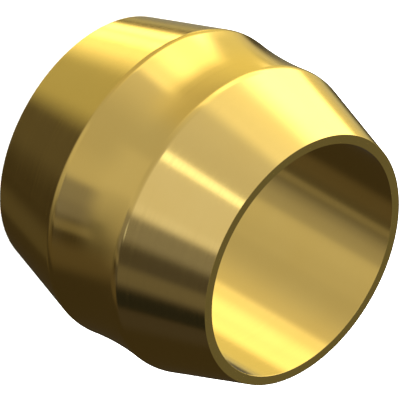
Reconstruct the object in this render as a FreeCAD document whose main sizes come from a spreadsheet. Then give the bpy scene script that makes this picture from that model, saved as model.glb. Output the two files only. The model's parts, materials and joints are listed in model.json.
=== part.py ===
import FreeCAD, Part
import math
import os
import Sketcher

# A compression olive: a ring turned in one piece from brass bar. It stands on one end, with its axis on +Z.
# Two equal cones seat in the fitting's body and under its nut. A slightly waisted band joins their shoulders.
doc = FreeCAD.newDocument("CompressionOlive")

# Driving dimensions in millimetres: alias, value, what it measures.
DIMENSIONS = [
    ("tube_diameter", 8.0, "outside diameter of the tube that the olive grips"),
    ("bore_clearance", 0.05, "room between the tube and the bore, on the radius"),
    ("overall_length", 9.22, "end face to end face"),
    ("rim_wall", 0.32, "wall at the end faces"),
    ("shoulder_wall", 1.285, "wall at the sharp corner of a shoulder, before it is rounded"),
    ("waist_length", 2.92, "from one shoulder's sharp corner to the other's"),
    ("waist_depth", 0.10, "hollow of the band at mid length, below the sharp corners"),
    ("shoulder_round", 0.75, "radius of the shoulders"),
    ("edge_break", 0.01, "radius that tumbling leaves on the end edges"),
]

sheet = doc.addObject("Spreadsheet::Sheet", "dims")
for row, (alias, value, meaning) in enumerate(DIMENSIONS, start=1):
    sheet.set(f"A{row}", alias)
    sheet.set(f"B{row}", str(value))
    sheet.set(f"C{row}", meaning)
    sheet.setAlias(f"B{row}", alias)
doc.recompute()

# Sizes that follow from the driving ones.
BORE_RADIUS = "dims.tube_diameter / 2 + dims.bore_clearance"
CONE_LENGTH = "(dims.overall_length - dims.waist_length) / 2"
WAIST_RADIUS = "((dims.waist_length / 2) ^ 2 + dims.waist_depth ^ 2) / (2 * dims.waist_depth)"

# How a sketch numbers the ends of a curve, a lone point, its X axis and its origin.
START = 1
END = 2
POINT = 1
X_AXIS = -1
SKETCH_ORIGIN = (-1, 1)


def size(expression):
    """Return what an expression on the sheet comes to, in millimetres."""
    return float(sheet.evalExpression(expression))


bore_radius = size(BORE_RADIUS)
rim_radius = bore_radius + sheet.rim_wall
shoulder_radius = bore_radius + sheet.shoulder_wall
cone_length = size(CONE_LENGTH)
cone_angle = math.atan2(shoulder_radius - rim_radius, cone_length)


def half_section(body):
    """Sketch the half section on the XZ plane: X is the radius, and the sketch's Y is the height."""
    sketch = body.newObject("Sketcher::SketchObject", "HalfSection")
    plane = next(item for item in body.Origin.OriginFeatures if item.Role == "XZ_Plane")
    sketch.AttachmentSupport = [(plane, "")]
    sketch.MapMode = "FlatFace"

    def at(radius, height):
        return FreeCAD.Vector(radius, height, 0)

    def line(start, end):
        return sketch.addGeometry(Part.LineSegment(start, end))

    def arc(start, middle, end):
        return sketch.addGeometry(Part.Arc(start, middle, end))

    def fix(*constraint):
        return sketch.addConstraint(Sketcher.Constraint(*constraint))

    def bind(name, expression, kind, *ends):
        index = fix(kind, *ends, size(expression))
        sketch.renameConstraint(index, name)
        sketch.setExpression(f"Constraints.{name}", expression)

    top = sheet.overall_length
    lower = at(shoulder_radius, cone_length)
    upper = at(shoulder_radius, top - cone_length)
    waist = at(shoulder_radius - sheet.waist_depth, top / 2)

    # The rounds are drawn close to their corners, and the tangents then bring them to their true place.
    reach = sheet.shoulder_round * math.tan(cone_angle / 2)
    down_cone = at(-reach * math.sin(cone_angle), -reach * math.cos(cone_angle))
    up_cone = at(down_cone.x, -down_cone.y)
    along_band = at(0, reach)
    inset = at(-reach * math.tan(cone_angle / 2) / 2, 0)

    bottom_face = line(at(bore_radius, 0), at(rim_radius, 0))
    bottom_cone = line(at(rim_radius, 0), lower + down_cone)
    lower_round = arc(lower + down_cone, lower + inset, lower + along_band)
    waist_arc = arc(upper - along_band, waist, lower + along_band)
    upper_round = arc(upper - along_band, upper + inset, upper + up_cone)
    top_cone = line(upper + up_cone, at(rim_radius, top))
    top_face = line(at(rim_radius, top), at(bore_radius, top))
    bore_wall = line(at(bore_radius, top), at(bore_radius, 0))
    lower_corner = sketch.addGeometry(Part.Point(lower), True)
    upper_corner = sketch.addGeometry(Part.Point(upper), True)

    fix("Coincident", bottom_face, END, bottom_cone, START)
    fix("Tangent", bottom_cone, END, lower_round, START)
    fix("Tangent", lower_round, END, waist_arc, END)
    fix("Tangent", waist_arc, START, upper_round, START)
    fix("Tangent", upper_round, END, top_cone, START)
    fix("Coincident", top_cone, END, top_face, START)
    fix("Coincident", top_face, END, bore_wall, START)
    fix("Coincident", bore_wall, END, bottom_face, START)
    fix("PointOnObject", bottom_face, START, X_AXIS)
    fix("Horizontal", bottom_face)
    fix("Horizontal", top_face)
    fix("Vertical", bore_wall)
    fix("Equal", bottom_face, top_face)
    fix("Equal", lower_round, upper_round)
    fix("PointOnObject", lower_corner, POINT, bottom_cone)
    fix("PointOnObject", lower_corner, POINT, waist_arc)
    fix("PointOnObject", upper_corner, POINT, top_cone)
    fix("PointOnObject", upper_corner, POINT, waist_arc)
    fix("Vertical", lower_corner, POINT, upper_corner, POINT)

    inner_edge = (bottom_face, START)
    corner = (lower_corner, POINT)
    bind("bore_radius", BORE_RADIUS, "DistanceX", *SKETCH_ORIGIN, *inner_edge)
    bind("rim_wall", "dims.rim_wall", "DistanceX", *inner_edge, bottom_face, END)
    bind("overall_length", "dims.overall_length", "DistanceY", *inner_edge, top_face, END)
    bind("shoulder_wall", "dims.shoulder_wall", "DistanceX", *inner_edge, *corner)
    bind("cone_length", CONE_LENGTH, "DistanceY", *inner_edge, *corner)
    bind("waist_length", "dims.waist_length", "DistanceY", *corner, upper_corner, POINT)
    bind("waist_radius", WAIST_RADIUS, "Radius", waist_arc)
    bind("shoulder_round", "dims.shoulder_round", "Radius", lower_round)
    doc.recompute()
    if sketch.solve() != 0 or not sketch.FullyConstrained:
        raise RuntimeError("the half section isn't fully constrained")
    return sketch


def end_edges(feature):
    """Name the four circles round the end faces: bore and rim, at the bottom and at the top."""
    names = []
    for index, edge in enumerate(feature.Shape.Edges, start=1):
        height = edge.CenterOfMass.z
        at_end = min(abs(height), abs(height - sheet.overall_length)) < Part.Precision.confusion()
        if at_end and edge.isClosed():
            names.append(f"Edge{index}")
    return names


def turned_olive():
    """Turn the half section about Z, then break the end edges."""
    body = doc.addObject("PartDesign::Body", "Olive")
    body.Label = "olive"
    sketch = half_section(body)

    turned = body.newObject("PartDesign::Revolution", "TurnedRing")
    turned.Profile = sketch
    turned.ReferenceAxis = (sketch, ["V_Axis"])
    turned.Angle = 360
    doc.recompute()

    broken = body.newObject("PartDesign::Fillet", "BrokenEndEdges")
    broken.Base = (turned, end_edges(turned))
    broken.setExpression("Radius", "dims.edge_break")
    doc.recompute()
    return body


olive = turned_olive()

for item in doc.Objects:
    if "Invalid" in item.State or "Error" in item.State:
        raise RuntimeError(f"{item.Name} failed: {item.State}")
if olive.Shape.isNull() or not olive.Shape.isValid() or len(olive.Shape.Solids) != 1:
    raise RuntimeError("the olive isn't one valid solid")

box = olive.Shape.optimalBoundingBox()
print(f"olive: {box.XLength:.3f} x {box.YLength:.3f} x {box.ZLength:.3f} mm, {olive.Shape.Volume:.2f} mm3")
print(f"cone half angle: {math.degrees(cone_angle):.2f} degrees over {cone_length:.2f} mm")

os.makedirs("parts", exist_ok=True)
olive.Shape.exportStep(f"parts/{olive.Label}.step")
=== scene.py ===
import json
import math

import bpy
import numpy as np
from mathutils import Matrix, Vector


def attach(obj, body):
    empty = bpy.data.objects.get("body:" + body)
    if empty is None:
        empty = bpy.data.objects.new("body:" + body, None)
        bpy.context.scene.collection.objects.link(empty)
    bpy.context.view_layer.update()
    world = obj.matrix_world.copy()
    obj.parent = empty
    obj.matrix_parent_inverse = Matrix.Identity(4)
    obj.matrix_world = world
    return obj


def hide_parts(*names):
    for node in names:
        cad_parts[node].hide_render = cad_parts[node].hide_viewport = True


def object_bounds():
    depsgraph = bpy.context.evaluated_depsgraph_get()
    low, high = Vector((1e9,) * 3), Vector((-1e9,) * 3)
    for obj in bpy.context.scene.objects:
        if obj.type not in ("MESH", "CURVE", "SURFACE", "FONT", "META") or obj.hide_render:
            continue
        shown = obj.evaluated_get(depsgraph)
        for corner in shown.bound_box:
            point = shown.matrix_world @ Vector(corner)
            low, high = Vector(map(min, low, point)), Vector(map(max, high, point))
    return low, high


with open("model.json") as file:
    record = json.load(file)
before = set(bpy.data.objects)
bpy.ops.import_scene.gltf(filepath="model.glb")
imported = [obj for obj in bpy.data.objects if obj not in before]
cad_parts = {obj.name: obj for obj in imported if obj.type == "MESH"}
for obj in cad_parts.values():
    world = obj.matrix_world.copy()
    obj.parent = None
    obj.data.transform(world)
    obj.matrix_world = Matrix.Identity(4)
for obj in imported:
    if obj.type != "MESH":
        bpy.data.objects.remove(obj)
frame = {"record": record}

mm = 0.001  # sizes are in millimetres here, and the scene is in metres
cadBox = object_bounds()
scene = bpy.context.scene
tubeBore = next(mount for mount in frame["record"]["mounts"] if mount["name"] == "tube_bore")
print("frame: olive box", [round(side / mm, 3) for side in cadBox[1] - cadBox[0]], "mm")


# sRGB hex to linear: the straight part below 0.04045, the 2.4 power above it
def linear(hexColour):
    srgb = np.array([int(hexColour[k:k + 2], 16) for k in (1, 3, 5)]) / 255
    light = np.where(srgb <= 0.04045, srgb / 12.92, ((srgb + 0.055) / 1.055) ** 2.4)
    return [float(part) for part in light]


# one node with its own settings; each input is a value, or another node's output to link
def addNode(tree, kind, inputs, **settings):
    node = tree.nodes.new(kind)
    for name, value in settings.items():
        setattr(node, name, value)
    for name, value in inputs.items():
        if isinstance(value, bpy.types.NodeSocket):
            tree.links.new(value, node.inputs[name])
        else:
            node.inputs[name].default_value = value
    return node


# an empty node material, and the tree to fill
def newMaterial(name):
    material = bpy.data.materials.new(name)
    material.use_nodes = True
    material.node_tree.nodes.clear()
    return material, material.node_tree


# Brass bar, turned and then tumbled bright: a warm mirror. Close up it has the tool's fine rings,
# a faint unevenness from the tumbling, and patches that are a shade redder or duller.
brass = dict(
    colour="#f3cf74",
    redderColour="#efc86a",
    edgeColour="#fff4d0",     # at grazing angles brass stays yellow, only paler
    roughness=(0.09, 0.15),   # from the brightest ring to the dullest
    dullPatch=0.03,           # what a dull patch adds to the roughness
    ringSpacing=0.09,         # mm; the real feed marks are about 0.03 mm, too fine to show
    ringDepth=0.00012,        # mm
    ringDetail=3,             # finer rings within the rings, each half as wide as the last
    ringFineness=0.6,         # how much of each of those there is
    ringRange=(0.3, 0.7),     # the pattern's values for the brightest and the dullest ring
    dentSize=0.9,             # mm, dents of the tumbling
    dentDepth=0.0008,         # mm
    dentDetail=1,
    patchSize=2.2,            # mm
    patchDetail=4,
)


def turnedBrass():
    material, tree = newMaterial("turnedTumbledBrass")
    place = addNode(tree, "ShaderNodeTexCoord", {}).outputs["Object"]

    # radius and height in the ring's section: a pattern on them runs round the axis
    flat = addNode(tree, "ShaderNodeVectorMath", {0: place, 1: (1, 1, 0)}, operation="MULTIPLY")
    radius = addNode(tree, "ShaderNodeVectorMath", {0: flat.outputs["Vector"]}, operation="LENGTH")
    height = addNode(tree, "ShaderNodeSeparateXYZ", {"Vector": place})
    section = addNode(tree, "ShaderNodeCombineXYZ",
                      {"X": radius.outputs["Value"], "Z": height.outputs["Z"]})

    rings = addNode(tree, "ShaderNodeTexNoise",
                    {"Vector": section.outputs["Vector"], "Scale": 1 / (brass["ringSpacing"] * mm),
                     "Detail": brass["ringDetail"], "Roughness": brass["ringFineness"]})
    dents = addNode(tree, "ShaderNodeTexNoise",
                    {"Vector": place, "Scale": 1 / (brass["dentSize"] * mm),
                     "Detail": brass["dentDetail"]})
    patches = addNode(tree, "ShaderNodeTexNoise",
                      {"Vector": place, "Scale": 1 / (brass["patchSize"] * mm),
                       "Detail": brass["patchDetail"]})

    low, high = brass["ringRange"]
    bright, dull = brass["roughness"]
    ringGloss = addNode(tree, "ShaderNodeMapRange",
                        {"Value": rings.outputs["Fac"], "From Min": low, "From Max": high,
                         "To Min": bright, "To Max": dull})
    gloss = addNode(tree, "ShaderNodeMath",
                    {0: patches.outputs["Fac"], 1: brass["dullPatch"], 2: ringGloss.outputs["Result"]},
                    operation="MULTIPLY_ADD")
    shade = addNode(tree, "ShaderNodeMix",
                    {"Factor": patches.outputs["Fac"], "A": linear(brass["colour"]) + [1],
                     "B": linear(brass["redderColour"]) + [1]}, data_type="RGBA")
    ringBump = addNode(tree, "ShaderNodeBump",
                       {"Height": rings.outputs["Fac"], "Distance": brass["ringDepth"] * mm})
    bump = addNode(tree, "ShaderNodeBump",
                   {"Height": dents.outputs["Fac"], "Distance": brass["dentDepth"] * mm,
                    "Normal": ringBump.outputs["Normal"]})
    surface = addNode(tree, "ShaderNodeBsdfPrincipled",
                      {"Base Color": shade.outputs["Result"], "Metallic": 1.0,
                       "Specular Tint": linear(brass["edgeColour"]) + [1],
                       "Roughness": gloss.outputs["Value"], "Normal": bump.outputs["Normal"]})
    addNode(tree, "ShaderNodeOutputMaterial", {"Surface": surface.outputs["BSDF"]})
    return material


# The olive, in millimetres. Its length comes from the frame, and its bore from the tube mount.
olive = dict(
    length=(cadBox[1].z - cadBox[0].z) / mm,
    boreRadius=tubeBore["dims"]["r_mm"],
    rimWall=0.32,         # wall at the end faces
    shoulderWall=1.285,   # wall at the shoulders' sharp corners
    waistLength=2.92,     # from one sharp corner to the other
    waistDepth=0.10,      # hollow of the band between them
    shoulderRound=0.75,
    edgeBreak=0.01,
    around=256,           # faces round the axis
    boreSteps=20,
    edgeSteps=6,
    faceSteps=4,
    coneSteps=24,
    roundSteps=12,
    waistSteps=14,
)


# points at equal angles on a circle: centre + radius * (cos, sin)
# side is -1 where the metal lies outside the circle
def arcRun(centre, radius, start, end, steps, side=1):
    angle = np.linspace(start, end, steps, endpoint=False)
    outward = np.stack([np.cos(angle), np.sin(angle)], axis=1)
    return np.array(centre) + radius * outward, side * outward


# points at equal steps on a straight line: start + share * (end - start), all with one normal
def lineRun(start, end, outward, steps):
    share = np.linspace(0, 1, steps, endpoint=False)[:, None]
    points = np.array(start) + share * (np.array(end) - np.array(start))
    return points, np.tile(outward, (steps, 1))


# Half of the section, as radius and height: from the middle of the bore down, round the end and up to
# the middle of the waist. The shoulder's round is tangent to the cone and to the waist's arc.
def halfSection(size):
    middle = size["length"] / 2
    bore = size["boreRadius"]
    rim = bore + size["rimWall"]
    shoulder = bore + size["shoulderWall"]
    edge = size["edgeBreak"]
    coneLength = (size["length"] - size["waistLength"]) / 2
    slope = math.atan2(shoulder - rim, coneLength)  # the cone's angle to the axis
    coneUp = np.array([math.sin(slope), math.cos(slope)])
    coneOut = np.array([math.cos(slope), -math.sin(slope)])

    # the waist is an arc through both corners and the hollow, so its centre lies outside the metal
    halfWaist = size["waistLength"] / 2
    waistRadius = (halfWaist ** 2 + size["waistDepth"] ** 2) / (2 * size["waistDepth"])
    waistCentre = np.array([shoulder - size["waistDepth"] + waistRadius, middle])

    # the round's centre: on the cone's line moved inwards, and at both radii from the waist's centre
    reach = waistRadius + size["shoulderRound"]
    start = np.array([rim, 0]) - size["shoulderRound"] * coneOut
    along = (start - waistCentre) @ coneUp
    apart = (start - waistCentre) @ (start - waistCentre)
    roundCentre = start + (-along - math.sqrt(along ** 2 - apart + reach ** 2)) * coneUp
    toWaist = waistCentre - roundCentre
    roundEnd = math.atan2(toWaist[1], toWaist[0])

    innerEdge = np.array([bore + edge, edge])
    outerEdge = np.array([rim - edge * (1 - math.sin(slope)) / math.cos(slope), edge])
    coneStart = outerEdge + edge * coneOut
    coneEnd = roundCentre + size["shoulderRound"] * coneOut

    runs = [
        lineRun((bore, middle), (bore, edge), (-1, 0), size["boreSteps"]),
        arcRun(innerEdge, edge, math.pi, 1.5 * math.pi, size["edgeSteps"]),
        lineRun((innerEdge[0], 0), (outerEdge[0], 0), (0, -1), size["faceSteps"]),
        arcRun(outerEdge, edge, -0.5 * math.pi, -slope, size["edgeSteps"]),
        lineRun(coneStart, coneEnd, coneOut, size["coneSteps"]),
        arcRun(roundCentre, size["shoulderRound"], -slope, roundEnd, size["roundSteps"]),
        arcRun(waistCentre, waistRadius, math.pi + roundEnd, math.pi, size["waistSteps"], side=-1),
    ]
    points, normals = (np.concatenate(part) for part in zip(*runs))
    return points, normals


# pairs (r, z) turned about Z at equal angles t: (r cos t, r sin t, z), one row of points for each angle
def turnedAbout(pairs, around):
    angle = np.linspace(0, 2 * math.pi, around, endpoint=False)[:, None]
    heights = np.broadcast_to(pairs[:, 1], (around, len(pairs)))
    rows = [pairs[:, 0] * np.cos(angle), pairs[:, 0] * np.sin(angle), heights]
    return np.stack(rows, axis=2).reshape(-1, 3)


# The ring: its section turned about Z, and the section's normals turned with it.
def turnedRing(size):
    points, normals = halfSection(size)
    # the upper half is the lower one mirrored at mid length
    # the middle points of the waist and of the bore, one each, close the loop
    waistRadius = size["boreRadius"] + size["shoulderWall"] - size["waistDepth"]
    waistMiddle = np.array([[waistRadius, size["length"] / 2]])
    upper = points[:0:-1] * (1, -1) + (0, size["length"])
    section = np.concatenate([points, waistMiddle, upper])
    sectionNormals = np.concatenate([normals, [[1, 0]], normals[:0:-1] * (1, -1)])
    vertices = turnedAbout(section, size["around"]) * mm
    vertexNormals = turnedAbout(sectionNormals, size["around"])

    # each quad goes a step round and a step along; rolling the grid closes it both ways
    grid = np.arange(len(vertices)).reshape(size["around"], len(section))
    nextRound = np.roll(grid, -1, axis=0)
    quads = np.stack([grid, nextRound, np.roll(nextRound, -1, axis=1), np.roll(grid, -1, axis=1)],
                     axis=2)
    mesh = bpy.data.meshes.new("olive")
    mesh.from_pydata(vertices.tolist(), [], quads.reshape(-1, 4).tolist())

    # flat map: the share of a turn, and the share of the way along the section
    steps = np.linalg.norm(np.roll(section, -1, axis=0) - section, axis=1)
    reached = np.concatenate([[0], np.cumsum(steps)]) / steps.sum()
    share = np.linspace(0, 1, size["around"] + 1)
    flatMap = np.stack(np.meshgrid(share, reached, indexing="ij"), axis=2)
    corners = np.stack([flatMap[:-1, :-1], flatMap[1:, :-1], flatMap[1:, 1:], flatMap[:-1, 1:]],
                       axis=2)
    mesh.uv_layers.new(name="OFBake").uv.foreach_set("vector", corners.ravel().astype(np.float32))
    mesh.normals_split_custom_set_from_vertices(vertexNormals.tolist())
    return mesh


ring = bpy.data.objects.new("turnedOlive", turnedRing(olive))
scene.collection.objects.link(ring)
ring.data.materials.append(turnedBrass())
ring.visible_glossy = False  # the bore mirrors the studio, not its own far wall
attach(ring, "root")
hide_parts("olive")
print("olive:", len(ring.data.polygons), "faces")


# White card, matt, lit a little from below as on a light table: it stays pale, with only a faint shadow.
floorCard = dict(
    size=600,             # mm
    colour="#f7f7f5",
    roughness=0.85,
    fibreSize=0.6,        # mm, drawn coarser than paper's fibres so that it shows
    fibreDepth=0.004,     # mm
    fibreDetail=3,
    glow=0.45,
)


def whiteCard():
    material, tree = newMaterial("mattWhiteCard")
    place = addNode(tree, "ShaderNodeTexCoord", {}).outputs["Object"]
    fibres = addNode(tree, "ShaderNodeTexNoise",
                     {"Vector": place, "Scale": 1 / (floorCard["fibreSize"] * mm),
                      "Detail": floorCard["fibreDetail"]})
    bump = addNode(tree, "ShaderNodeBump",
                   {"Height": fibres.outputs["Fac"], "Distance": floorCard["fibreDepth"] * mm})
    colour = linear(floorCard["colour"]) + [1]
    surface = addNode(tree, "ShaderNodeBsdfPrincipled",
                      {"Base Color": colour, "Roughness": floorCard["roughness"],
                       "Emission Color": colour, "Emission Strength": floorCard["glow"],
                       "Normal": bump.outputs["Normal"]})
    addNode(tree, "ShaderNodeOutputMaterial", {"Surface": surface.outputs["BSDF"]})
    return material


half = floorCard["size"] * mm / 2
floorMesh = bpy.data.meshes.new("floor")
floorMesh.from_pydata([(-half, -half, 0), (half, -half, 0), (half, half, 0), (-half, half, 0)],
                      [], [(0, 1, 2, 3)])
floorMesh.materials.append(whiteCard())
floor = bpy.data.objects.new("floor", floorMesh)
scene.collection.objects.link(floor)
floor.visible_glossy = False  # the brass mirrors the studio's panels, not the card
print("floor: a white card")


# The studio that the brass mirrors: soft panels on a dim shell all round. Angles are in
# degrees: azimuth 0 is the camera's side and -90 its left, and elevation 0 is level. Each panel has its
# azimuths, its elevations, the width over which each of those four edges fades, its power and its tint.
# A negative power is a dark card, which takes light away.
allRound = (-200, 200)   # more than a full turn, so that no edge shows
pastPole = 100           # more than straight up or down, for the same reason
plainLight = "#ffffff"
warmLight = "#ffffe1"
screenLight = "#f8fcff"
coolLight = "#bcc6ff"
brownLight = "#d1d9ff"
studio = dict(
    shell=(allRound, (-pastPole, pastPole), (1, 1, 1, 1), 0.046, "#ffeed2"),
    dome=(allRound, (8, pastPole), (1, 1, 12, 1), 0.102, "#f0ffff"),
    ceiling=(allRound, (62, pastPole), (1, 1, 16, 1), 0.32, "#fffaf0"),
    # the long screen in front and to the left, yellower near the floor
    screen=((-155, 29), (-35, 28), (8, 6, 8, 16), 0.49, screenLight),
    screenEnd=((-163, -155), (-30, 28), (18, 8, 6, 16), 0.58, "#f4ffea"),
    screenLow=((-42, 53), (-58.5, -35), (30, 64, 15, 8), 0.49, screenLight),
    screenLeft=((-141, -42), (-58.5, -35), (4, 30, 15, 8), 0.54, "#fffbdc"),
    screenUnder=((-141, -11.5), (-pastPole, -58.5), (4, 36, 1, 15), 0.455, "#fcfdd8"),
    strip=((-178, -145.5), (-58, -36), (10, 5, 10, 6), 0.27, "#f4ffff"),
    stripTop=((-152, -141), (-43.5, -35), (10, 4, 4, 8), 0.25, plainLight),
    lowLift=((-8, 26), (-56, -36), (8, 10, 6, 12), 0.08, plainLight),
    lowSide=((46, 86), (-59.5, -45), (20, 14, 4, 8), 0.075, plainLight),
    lowEdge=((28, 68), (-62.6, -51.5), (14, 10, 2, 3), 0.045, plainLight),
    midLift=((10, 44), (-38, -18), (20, 8, 8, 8), 0.05, screenLight),
    # cool light along the top of the screen, and one narrow bright lamp in it
    upper=((-146, 29), (-12, 28), (20, 6, 20, 16), 0.26, coolLight),
    upperEnd=((-9, 29), (-6, 28), (5, 6, 7, 16), 0.21, coolLight),
    upperEdge=((21, 27), (-8, 28), (4, 4, 8, 16), 0.12, coolLight),
    streak=((-17, -10.4), (-6, 28), (3, 3, 7, 16), 1.4, "#e4f0ff"),
    # the dim right end of the screen
    brownSide=((29, 47), (-18, 28), (6, 9, 10, 16), 0.285, brownLight),
    brownLow=((29, 55.5), (-35, -18), (6, 9, 8, 10), 0.25, brownLight),
    spark=((35, 46), (-11.5, -6.9), (10, 6, 7, 1.5), 0.9, "#c5d6ff"),
    bar=((58, 65), (-36.5, -14.5), (5, 4, 5, 10), 0.15, plainLight),
    sideCard=((50.5, 59), (-41.5, -35), (4, 14, 4, 3), -0.08, plainLight),
    coolSide=((48, 79), (-24, 28), (6, 6, 10, 10), 0.055, "#b3c2ff"),
    coolRight=((95, 111), (-20, 20), (3, 12, 8, 10), 0.03, "#a4b0ff"),
    # the window on the left, with the wall and the shelf that it lights
    gold=((-150.5, -93), (-45, 28), (22, 70, 4, 16), 0.315, "#ffffb0"),
    windowLeft=((-137, -118), (-26.2, 28), (9, 12, 11, 16), 1.95, plainLight),
    windowMid=((-118, -106), (-29.8, 28), (12, 12, 12, 16), 1.8, plainLight),
    window=((-110, -75), (-36.3, -17), (16, 26, 5, 8), 1.2, warmLight),
    windowTop=((-106, -92), (-17, 28), (12, 28, 8, 16), 1.85, plainLight),
    shelf=((-100, -55), (-16, -1), (20, 12, 8, 20), 0.52, warmLight),
    shelfLow=((-82, -57), (-36.9, -16), (20, 9, 6, 8), 0.75, warmLight),
    tail=((-62, -36), (-41, -14), (10, 40, 8, 8), 0.19, plainLight),
    tailTop=((-62, -40), (-13, 28), (10, 30, 10, 16), 0.07, plainLight),
    # the box lamp low on the left, whose top edge slants
    lowBoxLeft=((-138.8, -124), (-75, -48.6), (2, 6, 8, 3), 2.4, warmLight),
    lowBox=((-124, -109), (-75, -52.5), (6, 6, 8, 2), 2.1, warmLight),
    lowBoxRight=((-109, -101), (-75, -56), (6, 24, 8, 2), 1.2, warmLight),
    lowBoxTail=((-109, -84), (-75, -58), (6, 30, 8, 3), 0.75, warmLight),
    lowGlow=((-142.5, -135.3), (-46.7, -39.5), (3, 9, 3, 4), 0.68, plainLight),
    # faint glows and a black card in the dark on the right
    underGlow=((-12, 58), (-90, -54), (20, 30, 1, 10), 0.05, plainLight),
    sideGlow=((103, 129), (-60, -46), (24, 8, 8, 8), 0.042, plainLight),
    glint=((63, 76), (-13, 20), (6, 6, 8, 10), 0.075, plainLight),
    blackCard=((80, 94), (-18, 20), (6, 5, 6, 10), -0.028, "#ffd97c"),
    glow=((74, 95), (-48, -18), (14, 14, 8, 6), 0.052, "#fff2df"),
)


# The light from each direction: the sum over all panels of power times tint times four smooth steps,
# up over the panel's first azimuth and elevation and down over its second ones.
def buildStudio():
    world = bpy.data.worlds.new("studio")
    world.use_nodes = True
    tree = world.node_tree
    tree.nodes.clear()
    way = addNode(tree, "ShaderNodeTexCoord", {}).outputs["Generated"]
    split = addNode(tree, "ShaderNodeSeparateXYZ", {"Vector": way})
    front = addNode(tree, "ShaderNodeMath", {0: split.outputs["Y"], 1: -1}, operation="MULTIPLY")
    turn = addNode(tree, "ShaderNodeMath", {0: split.outputs["X"], 1: front.outputs["Value"]},
                   operation="ARCTAN2")
    rise = addNode(tree, "ShaderNodeMath", {0: split.outputs["Z"]}, operation="ARCSINE")
    azimuth, elevation = (
        addNode(tree, "ShaderNodeMath", {0: angle.outputs["Value"]}, operation="DEGREES").outputs["Value"]
        for angle in (turn, rise))

    total = (0, 0, 0)
    for azimuths, elevations, fades, power, tint in studio.values():
        edges = [(azimuth, edge) for edge in azimuths] + [(elevation, edge) for edge in elevations]
        mask = 1
        for k, ((angle, edge), fade) in enumerate(zip(edges, fades)):
            down = k % 2  # 1 for the second edge of each pair
            side = addNode(tree, "ShaderNodeMapRange",
                           {"Value": angle, "From Min": edge - fade / 2, "From Max": edge + fade / 2,
                            "To Min": down, "To Max": 1 - down}, interpolation_type="SMOOTHSTEP")
            mask = addNode(tree, "ShaderNodeMath", {0: side.outputs["Result"], 1: mask},
                           operation="MULTIPLY").outputs["Value"]
        light = [power * share for share in linear(tint)]
        lit = addNode(tree, "ShaderNodeVectorMath", {0: light, "Scale": mask}, operation="SCALE")
        total = addNode(tree, "ShaderNodeVectorMath", {0: lit.outputs["Vector"], 1: total},
                        operation="ADD").outputs["Vector"]

    mirrored = addNode(tree, "ShaderNodeBackground", {"Color": total})
    backdrop = addNode(tree, "ShaderNodeBackground", {"Color": linear(floorCard["colour"]) + [1]})
    eye = addNode(tree, "ShaderNodeLightPath", {}).outputs["Is Camera Ray"]
    seen = addNode(tree, "ShaderNodeMixShader",
                   {0: eye, 1: mirrored.outputs["Background"], 2: backdrop.outputs["Background"]})
    addNode(tree, "ShaderNodeOutputWorld", {"Surface": seen.outputs["Shader"]})
    world.cycles.sampling_method = "NONE"  # mirrored rays find the panels by themselves
    return world


scene.world = buildStudio()

# one broad lamp straight above, for the floor
lamp = dict(height=150, size=220, power=0.9)   # mm, mm, watts
lampData = bpy.data.lights.new("overheadLamp", "AREA")
lampData.shape = "DISK"
lampData.size = lamp["size"] * mm
lampData.energy = lamp["power"]
lampObject = bpy.data.objects.new("overheadLamp", lampData)
lampObject.location.z = lamp["height"] * mm
lampObject.visible_glossy = False  # it lights the floor, and the brass doesn't mirror it
scene.collection.objects.link(lampObject)
scene.view_settings.view_transform = "Standard"  # brass highlights clip to yellow, as in the photograph
print("studio:", len(studio), "panels and a lamp")


# An isometric view without perspective, 400 pixels square, rolled so that the axis runs down and right.
picture = dict(
    pixels=400,
    pixelSize=0.031787,              # mm that one pixel covers
    elevation=math.degrees(math.asin(1 / math.sqrt(3))),
    roll=120,                        # degrees
    oliveCentre=(199.0, 200.4),      # pixel where the middle of the olive lies
    distance=60,                     # mm
    clip=(1, 1000),                  # mm
)
middle = (cadBox[0] + cadBox[1]) / 2
turned = (Matrix.Rotation(math.radians(90 - picture["elevation"]), 4, "X")
          @ Matrix.Rotation(math.radians(picture["roll"]), 4, "Z"))
across, up = ((picture["pixels"] - 1) / 2 - pixel for pixel in picture["oliveCentre"])
offset = Vector((across * picture["pixelSize"], -up * picture["pixelSize"], picture["distance"])) * mm
cameraData = bpy.data.cameras.new("camera")
cameraData.type = "ORTHO"
cameraData.ortho_scale = picture["pixels"] * picture["pixelSize"] * mm
cameraData.clip_start, cameraData.clip_end = (depth * mm for depth in picture["clip"])
camera = bpy.data.objects.new("camera", cameraData)
camera.matrix_world = Matrix.Translation(middle + turned @ offset) @ turned
scene.collection.objects.link(camera)
scene.camera = camera
print("camera: isometric, rolled", picture["roll"], "degrees")

bpy.context.view_layer.update()
